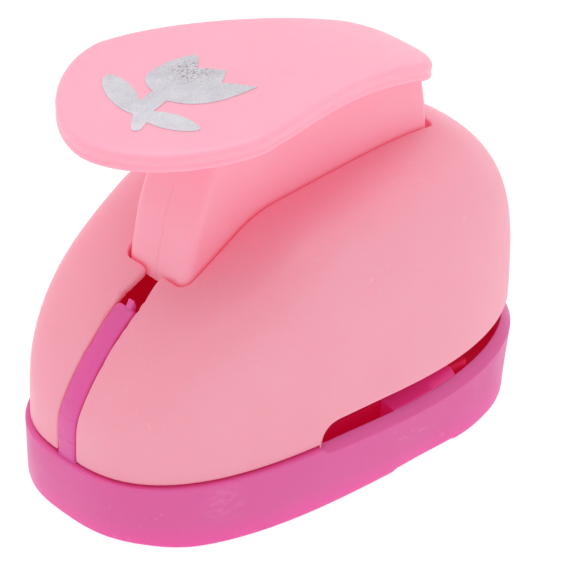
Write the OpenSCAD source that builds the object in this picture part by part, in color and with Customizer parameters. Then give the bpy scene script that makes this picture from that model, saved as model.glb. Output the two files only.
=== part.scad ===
// Lever craft punch: a plastic base, dome cover and thumb lever around a small metal die set.
// Units are millimetres. +X points to the paper slot and hinge end, -X to the thumb end, +Z is up.
// The origin is the middle of the footprint, on the surface that the punch stands on.

/* [Overall shape] */
// Length of the base along X
base_len = 72; // [68:1:76]
// Width of the base along Y
base_width = 38.2; // [37:0.2:40]
// Height of the base rim
base_height = 8.7; // [8.6:0.1:9]
// Step from the base rim in to the cover
rim_step = 0.6; // [0.5:0.1:0.8]
// Outline squareness of the thumb end
front_square = 2.75; // [2.4:0.05:3]
// Outline squareness of the hinge end
rear_square = 2.1; // [2:0.05:2.4]

/* [Cover dome] */
// Height of the roof line over the origin
roof_height = 37.35; // [37:0.05:38]
// Rise of the roof line per millimetre towards the hinge
roof_rise = 0.09; // [0.06:0.01:0.1]
// Place along X where the roof turns down towards the thumb end
slope_start = -10.6; // [-11.5:0.1:-10]
// Fall of that slope per millimetre
slope_fall = 0.585; // [0.56:0.005:0.6]
// Place along X where the front roof arc starts
front_break = -21.5; // [-23:0.5:-20]
// Radius of the front roof arc
front_radius = 21.5; // [21:0.5:24]
// Place along X where the rear roof arc starts
tail_start = 19.5; // [18:0.5:21]
// Radius of the rear roof arc
tail_radius = 22; // [21:0.5:26]
// Shoulder sharpness at the thumb end
front_shoulder = 7.8; // [6:0.2:9]
// Shoulder sharpness at the hinge end
rear_shoulder = 3.6; // [3.2:0.2:4.4]
// Wall thickness of the cover
cover_wall = 1.9; // [1.6:0.1:2.1]

/* [Lever] */
// Height of the thumb pad's crest
lever_height = 53.85; // [53:0.05:55]
// Radius of the thumb pad's arch
arch_radius = 92; // [85:1:100]
// Thickness of the thumb pad
pad_thick = 2.2; // [2:0.1:2.4]
// Greatest half width of the thumb pad
pad_half_width = 15.5; // [15:0.1:15.8]
// Half width of the lever's web
web_half = 5.4; // [5.2:0.1:5.5]
// Half width of the cover's lever slot
slot_half = 5.8; // [5.8:0.05:6]

/* [Mechanism] */
// Hinge pin radius
pin_r = 2; // [1.8:0.1:2.2]
// Middle of the die set along X
die_x = 8; // [8:0.1:8.5]
// Height of the slit that the paper slides into
paper_gap = 1.6; // [1.4:0.1:1.8]
// Clearance between the punch and its die
punch_clear = 0.12; // [0.08:0.01:0.15]
// Turns in each return spring
spring_turns = 5; // [4:1:6]

/* [Hidden] */
$fn = 48;

eps = 0.01;
over = 1;                       // how far a cutter runs past the face it opens
outline_steps = 60;             // sides of the base and cover outline
dome_rings = 12;                // rings between the cover's foot and its crown

half_len = base_len / 2;
half_width = base_width / 2;
cover_foot = base_height + 0.3; // the cover hangs just above the rim
slot_edge = 11.6;               // raised lower edge of the cover over the paper slot
slot_start = -10.2;             // where that raised edge starts
slot_corner = 2.7;
chamfer_low = 6.9;
chamfer_high = 8.4;
chamfer_in = 2.2;
base_wall = 2;
floor_t = 2.2;

lever_slot_front = -21.6;
lever_slot_rear = 20.2;
tongue_half = 1.55;
tongue_slot_half = 1.7;
tongue_slot_top = 1.3;          // the slot tightens to this above the tongue's tip
tongue_slot_bend = -25;
tongue_thick = 2.8;
tongue_inset = 0.15;
tongue_turn = 53.4;             // how far round the dome profile the tongue reaches

pivot_x = 23;
pivot_z = 27;
knuckle_r = 4.6;
pin_half = 8.2;
ear_in = 5.8;
ear_out = 8.4;
ear_r = 4.2;
nose_r = 3.7;
nose_half = 1.2;

die_z = 5.6;
die_t = 3;
guide_z = die_z + die_t + paper_gap;
guide_t = 3;
plate_half = 14;
guide_top = guide_z + guide_t;
carrier_z = 20;
carrier_t = 2;
carrier_top = carrier_z + carrier_t;
punch_z = guide_z + 0.6;
press_pad_top = pivot_z - nose_r - 0.1;
bolt_y = 12.3;
bolt_r = 1.5;
stop_gap = 0.1;
spring_r = 2.2;
spring_wire = 0.3;
throat_x = -8.7;
throat_half = 2.2;
frame_screw_y = 9.5;
die_screw_x = 15.6;
die_screw_y = 10.8;
punch_screw_x = die_x + 1;
punch_screw_y = 3.2;
cover_screw_x = -24;
cover_screw_y = 8.2;
nest_y = 14.6;
relief_start = 2;
relief_end = 12.5;
relief_depth = 0.25;
toe_end = -31;
chip_half_x = 8.8;
chip_half_y = 8.6;
motif_x = -19.3;
motif_y = -0.7;

pink = [0.96, 0.64, 0.70];
lever_pink = [0.99, 0.72, 0.79];
magenta = [0.87, 0.42, 0.65];
silver = [0.85, 0.84, 0.87];
steel = [0.62, 0.63, 0.66];
zinc = [0.70, 0.71, 0.73];

// ---- curves -------------------------------------------------------------------------------

function signed_power(v, e) = sign(v) * pow(abs(v), e);

// Egg-shaped outline of base and cover, moved in by inset; t runs once round from +X
function outline_point(t, inset) = let (n = cos(t) < 0 ? front_square : rear_square) [
    (half_len - inset) * signed_power(cos(t), 2 / n),
    (half_width - inset) * signed_power(sin(t), 2 / n)];
function outline(inset) = [for (i = [0:outline_steps - 1]) outline_point(360 * i / outline_steps, inset)];

function arc_drop(r, d) = r - sqrt(r * r - d * d);
// The lower of two heights, with the corner between them rounded over a height of k
function soft_min(a, b, k) = min(a, b) - pow(max(k - abs(a - b), 0), 2) / (4 * k);

// Roof line of the dome over x: front arc, straight slope, gently rising line, rear arc
function roof_line(x) = roof_height + roof_rise * min(x, tail_start);
function roof(x) = soft_min(roof_line(x), roof_line(slope_start) - slope_fall * (slope_start - x), 1.5)
    - arc_drop(front_radius, max(0, front_break - x)) - arc_drop(tail_radius, max(0, x - tail_start));

// Point of the dome: t goes round the outline, a climbs from the foot (0) to the crown (90)
function dome_point(t, a, inset) = let (
    w = 0.5 + 0.5 * cos(t),
    k = front_shoulder * (1 - w) + rear_shoulder * w,
    size = pow(pow(cos(a), k) + pow(sin(a), k), 1 / k),
    foot = outline_point(t, rim_step + inset) * cos(a) / size)
    [foot[0], foot[1], base_height + (roof(foot[0]) - inset - base_height) * sin(a) / size];

function arc_points(cx, cy, r, from, to, steps) =
    [for (i = [0:steps]) let (a = from + (to - from) * i / steps) [cx + r * cos(a), cy + r * sin(a)]];

// ---- shared solids ------------------------------------------------------------------------

// Solid loft through rings of equal length, closed flat at both ends
module loft(rings) {
    n = len(rings[0]);
    last = len(rings) - 1;
    sides = [for (j = [0:last - 1], i = [0:n - 1]) let (
        a = j * n + i, b = j * n + (i + 1) % n)
        each [[a, b + n, b], [a, a + n, b + n]]];
    polyhedron(
        points = [for (ring = rings) each ring],
        faces = concat([[for (i = [0:n - 1]) i]], sides, [[for (i = [n - 1:-1:0]) last * n + i]]),
        convexity = 6);
}

// Solid dome, with its foot lengthened downwards by skirt
module dome(inset, skirt) {
    rings = [for (j = [0:dome_rings]) [for (i = [0:outline_steps - 1])
        dome_point(360 * i / outline_steps, 88 * j / dome_rings, inset)]];
    foot = [for (p = rings[0]) [p[0], p[1], base_height - skirt]];
    loft(concat([foot], rings));
}

// Slab with the base's outline
module outline_slab(inset, z0, z1) {
    translate([0, 0, z0]) linear_extrude(z1 - z0) polygon(outline(inset));
}

// Sheet in the XZ plane, thickened equally to both sides of Y = 0
module side_plate(half) {
    translate([0, half, 0]) rotate([90, 0, 0]) linear_extrude(2 * half) children();
}

module cross_bar(x, z, r, y0, y1) {
    translate([x, y1, z]) rotate([90, 0, 0]) cylinder(r = r, h = y1 - y0);
}

module post(x, y, z0, z1, r) {
    translate([x, y, z0]) cylinder(r = r, h = z1 - z0);
}

module block(x0, x1, y0, y1, z0, z1) {
    translate([x0, y0, z0]) cube([x1 - x0, y1 - y0, z1 - z0]);
}

module mirrored_pair() {
    children();
    mirror([0, 1, 0]) children();
}

// Leaf or petal between two points, w wide each side of the line, widest where skew puts it
module leaf(p, q, w, fullness = 1.5, skew = 1, grow = 0) {
    d = q - p;
    u = d / norm(d);
    v = [-u[1], u[0]];
    steps = 12;
    a = p - u * grow;
    b = q + u * grow;
    edge = [for (i = [0:steps]) pow(abs(sin(180 * pow(i / steps, skew))), 1 / fullness)];
    polygon(concat(
        [for (i = [0:steps]) a + (b - a) * i / steps + v * (w + grow) * edge[i]],
        [for (i = [steps - 1:-1:1]) a + (b - a) * i / steps - v * (w + grow) * edge[i]]));
}

// Tulip lying along X, its flower towards +X, centred on the origin
module tulip(grow = 0) {
    leaf([-2, 0.3], [7.8, 5], 2.9, 1.6, 0.75, grow);
    leaf([-1.4, 0], [7.8, -0.1], 3.1, 1.5, 1.1, grow);
    leaf([-2, -0.3], [7.8, -5.7], 2.7, 1.6, 0.75, grow);
    leaf([-8.3, -3.9], [-4, 0.2], 0.85, 3, 1, grow);
    leaf([-6.6, -1], [0.8, 1.1], 1.3, 3, 1, grow);
    leaf([-6.4, -2], [-3.1, 8.3], 1.5, 2.2, 1, grow);
    leaf([-6, -0.6], [-3, -8.4], 1.6, 1.8, 0.9, grow);
}

// Pan-head screw pointing down, z is the underside of its head
module screw_down(x, y, z, shank_r, length, head_r, head_h) {
    difference() {
        union() {
            post(x, y, z - length, z + eps, shank_r);
            post(x, y, z, z + head_h, head_r);
        }
        block(x - head_r * 0.6, x + head_r * 0.6, y - 0.25, y + 0.25, z + head_h * 0.45, z + head_h + over);
        block(x - 0.25, x + 0.25, y - head_r * 0.6, y + head_r * 0.6, z + head_h * 0.45, z + head_h + over);
    }
}

// ---- housing ------------------------------------------------------------------------------

// Curved strip that fills the cover's front slot, with a small lug behind its tip
module tongue() {
    steps = 14;
    outer = [for (i = [0:steps]) let (p = dome_point(180, tongue_turn * i / steps, tongue_inset)) [p[0], p[2]]];
    inner = [for (i = [steps:-1:0]) let (
        p = dome_point(180, tongue_turn * i / steps, tongue_inset + tongue_thick)) [p[0], p[2]]];
    tip = outer[steps];
    side_plate(tongue_half)
        polygon(concat([[inner[steps][0], floor_t - eps], [outer[0][0], floor_t - eps]], outer, inner));
    translate([0, -0.1, 0]) rotate([90, 0, 0]) linear_extrude(1)
        polygon([tip + [-0.35, -0.4], tip + [0.4, 1.1], tip + [0.65, 1.1], tip + [1, 0], tip + [0.6, -1.8]]);
}

module base() color(magenta) {
    rib_half_x = 6;
    difference() {
        union() {
            difference() {
                outline_slab(0, 0, base_height);
                outline_slab(base_wall, floor_t, base_height + over);
            }
            // paper ramps beside the die, in the middle of the slot
            intersection() {
                outline_slab(0.5, floor_t - eps, chamfer_high);
                mirrored_pair() block(die_x - 1 - rib_half_x, die_x - 1 + rib_half_x, 15.2, 20, 0, 10);
            }
            // nest walls that hold the die set sideways
            mirrored_pair() block(-10.5, 17.6, nest_y, nest_y + 0.8, floor_t - eps, die_z + die_t);
            // pads under the die plate
            mirrored_pair() {
                post(throat_x, frame_screw_y, floor_t - eps, die_z, 2.6);
                post(die_screw_x, die_screw_y, floor_t - eps, die_z, 2.2);
                post(cover_screw_x, cover_screw_y, floor_t - eps, base_height, 3.8);
            }
            tongue();
        }
        // sloping lip of the rim along the paper slot
        difference() {
            block(slot_start + 0.6, half_len + over, -half_width - over, half_width + over,
                chamfer_low, base_height + over);
            loft([
                [for (p = outline(-0.01)) [p[0], p[1], chamfer_low - over]],
                [for (p = outline(-0.01)) [p[0], p[1], chamfer_low]],
                [for (p = outline(chamfer_in)) [p[0], p[1], chamfer_high]],
                [for (p = outline(chamfer_in)) [p[0], p[1], chamfer_high + eps]]]);
        }
        // chips fall out through this window
        block(die_x - chip_half_x, die_x + chip_half_x, -chip_half_y, chip_half_y, -over, floor_t + over);
        // shallow reliefs in the underside, under the paper slot and at the thumb end
        block(relief_start, relief_end, -half_width - over, half_width + over, -over, relief_depth);
        block(-half_len - over, toe_end, -half_width - over, half_width + over, -over, 0.4);
        mirrored_pair() {
            post(throat_x, frame_screw_y, 0.8, die_z + over, 1.1);
            post(die_screw_x, die_screw_y, 0.8, die_z + over, 1.1);
            post(cover_screw_x, cover_screw_y, -over, base_height + over, 1.6);
            post(cover_screw_x, cover_screw_y, -over, 3, 2.9);
        }
    }
}

// Plan outline of the slot that the tongue fills
function tongue_slot_outline() = [for (side = [-1, 1]) each let (
    edge = [
        [-half_len - over, side * tongue_slot_half],
        [tongue_slot_bend, side * tongue_slot_half],
        [lever_slot_front + eps, side * tongue_slot_top]])
    side < 0 ? edge : [edge[2], edge[1], edge[0]]];

// Cuts the raised lower edge of the cover round the hinge end, with a rounded start
module slot_cut() {
    side_plate(half_width + over)
        polygon(concat(
            [[half_len + over, cover_foot - 3], [half_len + over, slot_edge]],
            arc_points(slot_start + slot_corner, slot_edge - slot_corner, slot_corner, 90, 180, 8),
            [[slot_start, cover_foot - 3]]));
}

module cover() color(pink) {
    difference() {
        union() {
            difference() {
                dome(0, 0);
                dome(cover_wall, 2);
            }
            // ears that carry the hinge pin, and tubes that take the cover screws
            intersection() {
                dome(cover_wall / 2, 0);
                mirrored_pair() {
                    cross_bar(pivot_x, pivot_z, ear_r, ear_in, ear_out);
                    block(pivot_x - 3.4, pivot_x + 3.4, ear_in, ear_out, pivot_z, 40);
                    post(cover_screw_x, cover_screw_y, cover_foot + 0.1, 32, 3.2);
                }
            }
            // lip that drops inside the base wall at the thumb end
            difference() {
                outline_slab(base_wall + 0.2, 6.8, cover_foot + 1.5);
                outline_slab(base_wall + 1.3, 6, cover_foot + 2);
                block(slot_start - 2, half_len, -half_width, half_width, 6, cover_foot + 2);
            }
        }
        block(-half_len - over, half_len + over, -half_width, half_width, base_height - 3, cover_foot - 2.2);
        difference() {
            block(-half_len - over, half_len + over, -half_width, half_width, 6, cover_foot);
            outline_slab(base_wall + 0.2, 5, cover_foot + 1);
        }
        slot_cut();
        // lever slot in the roof and the tongue's slot down the front
        block(lever_slot_front, lever_slot_rear, -slot_half, slot_half, 22, 50);
        translate([0, 0, 5]) linear_extrude(45) polygon(tongue_slot_outline());
        cross_bar(pivot_x, pivot_z, pin_r + 0.01, -ear_out - over, ear_out + over);
        mirrored_pair() post(cover_screw_x, cover_screw_y, cover_foot - over, 22, 1.25);
    }
}

// ---- lever --------------------------------------------------------------------------------

crest_x = -15;
pad_front = -33.4;
pad_middle = -17.8;
pad_front_square = 1.8;
pad_side = [[-14.2, 15.1], [2, 10.7]];
pad_corner = 6.5;
pad_corner_x = 13.2;
pad_corner_y = 1.7;
pad_corner_turn = 78;           // the side runs into the rear corner's arc at this angle

function pad_front_edge(s) = [
    pad_middle - (pad_middle - pad_front) * signed_power(sin(s), 2 / pad_front_square),
    pad_half_width * signed_power(cos(s), 2 / pad_front_square)];
pad_edge = concat(
    [for (i = [12:-1:0]) pad_front_edge(90 * i / 12)],
    pad_side,
    arc_points(pad_corner_x, pad_corner_y, pad_corner, pad_corner_turn, 0, 6));
pad_outline = concat(pad_edge, [for (i = [len(pad_edge) - 1:-1:1]) [pad_edge[i][0], -pad_edge[i][1]]]);

// Arched layer between two heights below the pad's crest
module arch_band(top_drop, bottom_drop) {
    difference() {
        rotate([90, 0, 0]) translate([crest_x, lever_height - arch_radius, -20])
            cylinder(r = arch_radius - top_drop, h = 40, $fn = 180);
        rotate([90, 0, 0]) translate([crest_x, lever_height - arch_radius, -21])
            cylinder(r = arch_radius - bottom_drop, h = 42, $fn = 180);
        block(-110, 80, -22, 22, -130, 30);
    }
}

// Height of the pad's underside over x
function pad_under(x) = lever_height - arch_radius
    + sqrt(pow(arch_radius - pad_thick, 2) - pow(x - crest_x, 2)) + 0.3;

web_front_low = [-21.3, 28.5];
web_front_high = [-15.2, 50.4];
web_rear_high = [17.4, 45.3];
web_rear_low = [18.6, 37.6];

module web_profile() {
    polygon(concat(
        [web_front_low, web_front_low + [1.1, 8], web_front_high],
        [for (x = [-14:4:14]) [x, pad_under(x)]],
        [web_rear_high, [18.2, 41.2], web_rear_low, [19.6, 33], [pivot_x, pivot_z], [4.4, 28.5]]));
}

module web_hollow() {
    polygon([[-18.5, 27], [-17.7, 36.3], [-13.6, 49.3], [0, 48.4], [15, 43.2], [16.6, 37.5],
        [16.8, 33.2], [13.5, 29], [2, 27]]);
}

module lever() color(lever_pink) {
    difference() {
        union() {
            intersection() {
                arch_band(0, pad_thick);
                translate([0, 0, 30]) linear_extrude(30) polygon(pad_outline);
            }
            difference() {
                union() {
                    side_plate(web_half) web_profile();
                    cross_bar(pivot_x, pivot_z, knuckle_r, -web_half, web_half);
                }
                side_plate(web_half - 1.5) web_hollow();
            }
            // rib in the hollow web, ending in the round nose that presses the carrier
            side_plate(nose_half)
                polygon([[3.4, 48], [15.2, 43.3], [18, 33.5], [18.8, 27], [die_x + 3, pivot_z], [die_x, pivot_z],
                    [die_x - nose_r + 0.2, pivot_z]]);
            cross_bar(die_x, pivot_z, nose_r, -nose_half, nose_half);
        }
        cross_bar(pivot_x, pivot_z, pin_r + 0.05, -web_half - over, web_half + over);
    }
}

module foil_motif() color(silver)
    intersection() {
        arch_band(-0.15, 0);
        translate([motif_x, motif_y, 40]) linear_extrude(20) tulip();
    }

// ---- die set ------------------------------------------------------------------------------

// Outline shared by the die plate and the guide plate
module plate_outline() {
    polygon([[-11, -plate_half], [14, -plate_half], [18.6, -11.2], [18.6, 11.2], [14, plate_half],
        [-11, plate_half]]);
}

module hinge_pin() color(steel) cross_bar(pivot_x, pivot_z, pin_r, -pin_half, pin_half);

module die_plate() color(zinc)
    difference() {
        translate([0, 0, die_z]) linear_extrude(die_t) plate_outline();
        translate([die_x, 0, die_z - over]) linear_extrude(die_t + 2 * over) tulip(punch_clear);
        mirrored_pair() {
            post(throat_x, frame_screw_y, die_z - over, die_z + die_t + over, 1.3);
            post(die_screw_x, die_screw_y, die_z - over, die_z + die_t + over, 1.3);
            post(die_screw_x, die_screw_y, die_z + die_t - 1.3, die_z + die_t + over, 2.1);
        }
    }

module throat_spacer() color(zinc)
    difference() {
        block(throat_x - throat_half, throat_x + throat_half, -plate_half, plate_half, die_z + die_t, guide_z);
        mirrored_pair() post(throat_x, frame_screw_y, die_z, guide_top, 1.3);
    }

module guide_plate() color(zinc)
    difference() {
        translate([0, 0, guide_z]) linear_extrude(guide_t) plate_outline();
        translate([die_x, 0, guide_z - over]) linear_extrude(guide_t + 2 * over) tulip(punch_clear);
        mirrored_pair() {
            post(throat_x, frame_screw_y, guide_z - over, guide_top + over, 1.3);
            post(die_x, bolt_y, guide_z - over, guide_top + over, 1.2);
        }
    }

module punch() color(steel)
    difference() {
        translate([die_x, 0, punch_z]) linear_extrude(carrier_z - punch_z) tulip();
        mirrored_pair() post(punch_screw_x, punch_screw_y, carrier_z - 6, carrier_z + over, 1);
    }

module punch_carrier() color(zinc)
    difference() {
        union() {
            block(die_x - 8.5, die_x + 8.5, -11, 11, carrier_z, carrier_top);
            mirrored_pair() {
                block(die_x - 3, die_x + 3, 10, bolt_y, carrier_z, carrier_top);
                post(die_x, bolt_y, carrier_z, carrier_top, 3);
            }
            block(die_x - 3, die_x + 3, -nose_half, nose_half, carrier_top - eps, press_pad_top);
        }
        mirrored_pair() {
            post(die_x, bolt_y, carrier_z - over, carrier_top + over, bolt_r + 0.06);
            post(punch_screw_x, punch_screw_y, carrier_z - over, carrier_top + over, 1.1);
        }
    }

module guide_bolt(side) {
    stop = carrier_top + stop_gap;
    difference() {
        union() {
            post(die_x, side * bolt_y, guide_z + 0.2, guide_top + eps, 1.2);
            post(die_x, side * bolt_y, guide_top, stop + eps, bolt_r);
            post(die_x, side * bolt_y, stop, stop + 1.6, 2.5);
        }
        translate([die_x, side * bolt_y, stop + 0.6]) cylinder(r = 1.3, h = 2, $fn = 6);
    }
}

// Coil spring with close-wound end turns, swept from small round sections
module coil_spring(side) {
    wire_steps = 8;
    turn_steps = 16;
    count = spring_turns * turn_steps;
    low = guide_top + spring_wire + 0.01;
    high = carrier_z - spring_wire - 0.02;
    // rise of the wire: flat over the first and last turn, even between them
    function climb(i) = low + (high - low) * min(1, max(0, (i / turn_steps - 0.8) / (spring_turns - 1.6)));
    rings = [for (i = [0:count]) let (a = 360 * i / turn_steps) [for (k = [0:wire_steps - 1]) let (
        b = 360 * k / wire_steps, r = spring_r + spring_wire * cos(b))
        [r * cos(a), r * sin(a), climb(i) + spring_wire * sin(b)]]];
    translate([die_x, side * bolt_y, 0]) loft(rings);
}

module guide_bolt_left() color(steel) guide_bolt(-1);
module guide_bolt_right() color(steel) guide_bolt(1);
module return_spring_left() color(steel) coil_spring(-1);
module return_spring_right() color(steel) coil_spring(1);

// ---- screws -------------------------------------------------------------------------------

module frame_screw(side) screw_down(throat_x, side * frame_screw_y, guide_top, 1.1, guide_top - 1.2, 2.3, 1.3);
module die_screw(side) screw_down(die_screw_x, side * die_screw_y, die_z + die_t - 1.3, 1.1, 6, 2, 1.2);
module punch_screw(side) screw_down(punch_screw_x, side * punch_screw_y, carrier_top, 1, 6, 1.8, 1);
module cover_screw(side)
    translate([cover_screw_x, side * cover_screw_y, 3])
        rotate([180, 0, 0]) screw_down(0, 0, 0, 1.25, 16, 2.6, 1.6);

module frame_screw_left() color(steel) frame_screw(-1);
module frame_screw_right() color(steel) frame_screw(1);
module die_screw_left() color(steel) die_screw(-1);
module die_screw_right() color(steel) die_screw(1);
module punch_screw_left() color(steel) punch_screw(-1);
module punch_screw_right() color(steel) punch_screw(1);
module cover_screw_left() color(steel) cover_screw(-1);
module cover_screw_right() color(steel) cover_screw(1);

base();
cover();
lever();
foil_motif();
hinge_pin();
die_plate();
throat_spacer();
guide_plate();
punch();
punch_carrier();
guide_bolt_left();
guide_bolt_right();
return_spring_left();
return_spring_right();
frame_screw_left();
frame_screw_right();
die_screw_left();
die_screw_right();
punch_screw_left();
punch_screw_right();
cover_screw_left();
cover_screw_right();
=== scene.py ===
"""Visual model of a lever craft punch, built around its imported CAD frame.

Shapes are worked out in millimetres, in the CAD frame: +X is the hinge end, -X the thumb end, +Z is up.
"""

import math

import bmesh
import bpy
import numpy as np
from mathutils import Matrix, Vector, noise

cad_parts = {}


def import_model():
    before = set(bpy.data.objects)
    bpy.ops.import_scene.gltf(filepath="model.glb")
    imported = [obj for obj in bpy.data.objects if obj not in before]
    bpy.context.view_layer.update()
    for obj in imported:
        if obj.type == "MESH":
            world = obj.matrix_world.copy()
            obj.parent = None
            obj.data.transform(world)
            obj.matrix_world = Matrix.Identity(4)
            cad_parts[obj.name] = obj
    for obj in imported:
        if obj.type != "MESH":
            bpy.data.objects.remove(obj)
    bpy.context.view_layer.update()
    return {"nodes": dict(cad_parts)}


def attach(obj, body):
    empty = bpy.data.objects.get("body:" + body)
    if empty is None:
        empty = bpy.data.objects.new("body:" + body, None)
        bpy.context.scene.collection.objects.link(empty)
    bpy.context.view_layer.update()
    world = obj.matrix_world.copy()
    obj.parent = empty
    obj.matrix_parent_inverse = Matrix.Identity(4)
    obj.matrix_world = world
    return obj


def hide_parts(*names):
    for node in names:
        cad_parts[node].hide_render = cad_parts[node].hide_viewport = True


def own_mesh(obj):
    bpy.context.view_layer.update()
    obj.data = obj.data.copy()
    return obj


MM = 0.001

# Base and cover outline: a rounded egg shape, squarer at the thumb end
HALF_LEN = 36.0
HALF_WIDTH = 19.1
FRONT_SQUARE = 2.75
REAR_SQUARE = 2.1
RIM_Z = 8.7
RIM_STEP = 0.6
BASE_WALL = 2.0
FLOOR_Z = 2.2
FLOOR_INSET = 4.0               # inset of the ring where the tray's floor begins
UNDER_INSET = 5.0               # inset of the ring where the flat underside begins
SUNK = 0.1                      # how far posts, walls and ramps reach into the floor they stand on
WINDOW_X = 8.0
WINDOW_HALF = (8.8, 8.6)
NEST_X = (-10.5, 17.6)
NEST_Y = (14.6, 15.4)
NEST_TOP = 8.6
RAMP_X = (2.6, 14.6)

# Cover dome
ROOF_HEIGHT = 37.35
ROOF_RISE = 0.09
SLOPE_START = -10.6
SLOPE_FALL = 0.585
FRONT_BREAK = -21.5
FRONT_RADIUS = 21.5
TAIL_START = 19.5
TAIL_RADIUS = 22.0
FRONT_SHOULDER = 7.8
REAR_SHOULDER = 3.6
COVER_WALL = 1.9
COVER_FOOT = 9.0
COVER_ROWS = 44
COVER_COLUMNS = 86
SCREW_POST = (-24.0, 8.2)
SCREW_POST_FOOT = COVER_FOOT + 0.1
SCREW_POST_R = 3.2
SCREW_POST_BORE = 1.25
EAR_Y = (5.8, 8.4)
EAR_R = 4.2

# Paper slot between cover and base
SLOT_EDGE_Z = 11.6
SLOT_EDGE_FALL = 1.2            # fall of the cover's edge from the slot's start to the hinge end
SLOT_START_X = -10.2
SLOT_CORNER_R = 2.7
LIP_LOW_Z = 6.95                # heights of the lip's edges over x = 8
LIP_HIGH_Z = 8.2
LIP_FALL = 0.045                # fall of the lip per millimetre towards the hinge end
LIP_IN = 1.3
LIP_START_X = -10.3
LIP_BLEND = 1.3

# Screw posts of the base: x, y, top, outer and bore radius; each has a twin at -y
BASE_POSTS = [
    (-8.7, 9.5, 5.6, 2.6, 1.1),
    (15.6, 10.8, 5.6, 2.2, 1.1),
    (*SCREW_POST, RIM_Z, 3.8, 1.6),
]

# Lever slot, and the narrow slot that the tongue fills
LEVER_SLOT_FRONT = -21.6
LEVER_SLOT_REAR = 19.6
LEVER_SLOT_HALF = 5.7
TONGUE_SLOT_HALF = 1.7
TONGUE_SLOT_TOP = 1.3
TONGUE_SLOT_BEND = -25.0
TONGUE_HALF = 1.55
TONGUE_THICK = 2.8
TONGUE_INSET = -0.1             # below 0, as the tongue stands a little proud of the cover
TONGUE_TURN = 53.4              # turn of the dome profile at the tip, in degrees from the rim
TONGUE_NOTCH = 48.6             # turn at which a notch is worn into one edge
TONGUE_TIP_ROUND = 0.35

# Lever
PIVOT = (23.0, 27.0)
KNUCKLE_R = 4.6
NOSE = (8.0, 27.0)
NOSE_R = 3.7
NOSE_HALF = 1.2
WEB_HALF = 5.45
WEB_FOOT_Z = 28.5
# Places (z, x) of the web's front and rear edges
WEB_FRONT = [(27.8, -21.3), (28.5, -21.3), (31.0, -21.15), (36.5, -20.1), (50.4, -15.2), (53.5, -14.1)]
WEB_REAR = [(28.5, 21.5), (33.0, 19.6), (37.6, 18.6), (41.2, 18.2), (45.3, 17.4), (50.0, 16.6)]
PIN_BORE_EAR = 2.01
PIN_BORE_LEVER = 2.05
ARCH_RADIUS = 92.0
ARCH_CREST = (-15.0, 53.85)
PAD_THICK = 2.4
PAD_EDGE = 2.4                  # how far in from its outline the pad's rounded side reaches
PAD_SHIFT = -0.45
PAD_MIDDLE = -17.8
PAD_FRONT = -33.4
PAD_HALF = 15.5
PAD_SQUARE = 1.8
PAD_SIDE = [(-14.2, 15.1), (2.0, 10.7)]
PAD_CORNER = (13.2, 1.7, 6.5)   # middle and radius of the rear corner's arc
PAD_CORNER_TURN = 78

# Return springs
SPRING_X = 8.0
SPRING_Y = 12.3
SPRING_LOW = 13.2
SPRING_HIGH = 20.0
SPRING_R = 2.2
SPRING_WIRE = 0.3
SPRING_TURNS = 5
SPRING_CLOSED = 0.8             # turns at each end that lie flat

# Foil motif
MOTIF_X = -19.3
MOTIF_Y = -0.7
MOTIF_HALF = (9.2, 9.4)
MOTIF_STEP = 0.13
FOIL_T = 0.09
FOIL_SUNK = 0.02


# ---- curves -------------------------------------------------------------------------------

def signed_power(v, e):
    return np.sign(v) * np.abs(v) ** e


def squareness(x):
    return np.where(np.asarray(x) < 0, FRONT_SQUARE, REAR_SQUARE)


def outline(t, inset):
    """Plan points of the egg outline, moved in by inset, at angles t."""
    n = squareness(np.cos(t))
    x = (HALF_LEN - inset) * signed_power(np.cos(t), 2 / n)
    y = (HALF_WIDTH - inset) * signed_power(np.sin(t), 2 / n)
    return np.stack([x, y], -1)


def outline_t_of_x(x, inset):
    n = squareness(x)
    return np.arccos(signed_power(np.clip(x / (HALF_LEN - inset), -1, 1), n / 2))


def outline_t_of_front_y(y, inset):
    return math.pi - np.arcsin(np.clip(y / (HALF_WIDTH - inset), 0, 1) ** (FRONT_SQUARE / 2))


def arc_drop(r, d):
    return r - np.sqrt(np.maximum(r * r - d * d, 0))


def soft_min(a, b, k):
    """The lower of two heights, with the corner between them rounded over a height of k."""
    return np.minimum(a, b) - np.maximum(k - np.abs(a - b), 0) ** 2 / (4 * k)


def roof_line(x):
    return ROOF_HEIGHT + ROOF_RISE * np.minimum(x, TAIL_START)


def roof(x):
    """Height of the dome's ridge over x: front arc, straight slope, gently rising line, rear arc."""
    slope = roof_line(SLOPE_START) - SLOPE_FALL * (SLOPE_START - x)
    front = arc_drop(FRONT_RADIUS, np.maximum(0, FRONT_BREAK - x))
    tail = arc_drop(TAIL_RADIUS, np.maximum(0, x - TAIL_START))
    return soft_min(roof_line(x), slope, 1.5) - front - tail


def dome_z(x, y, inset):
    """Height of the cover's surface, moved in by inset, over a plan point."""
    n = squareness(x)
    px = (np.abs(x) / (HALF_LEN - RIM_STEP - inset)) ** n
    py = (np.abs(y) / (HALF_WIDTH - RIM_STEP - inset)) ** n
    rho = np.minimum((px + py) ** (1 / n), 1)
    turn = np.sign(x) * np.sqrt(px / np.maximum(px + py, 1e-12))
    rear_share = 0.5 + 0.5 * turn
    k = FRONT_SHOULDER * (1 - rear_share) + REAR_SHOULDER * rear_share
    return RIM_Z + (roof(x) - inset - RIM_Z) * (1 - rho ** k) ** (1 / k)


def arch_z(x, drop=0.0):
    """Height of the thumb pad's arch over x, drop below its top face."""
    r = ARCH_RADIUS - drop
    return ARCH_CREST[1] - ARCH_RADIUS + np.sqrt(r * r - (np.asarray(x) - ARCH_CREST[0]) ** 2)


def smooth(v, low, high):
    s = np.clip((v - low) / (high - low), 0, 1)
    return s * s * (3 - 2 * s)


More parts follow.
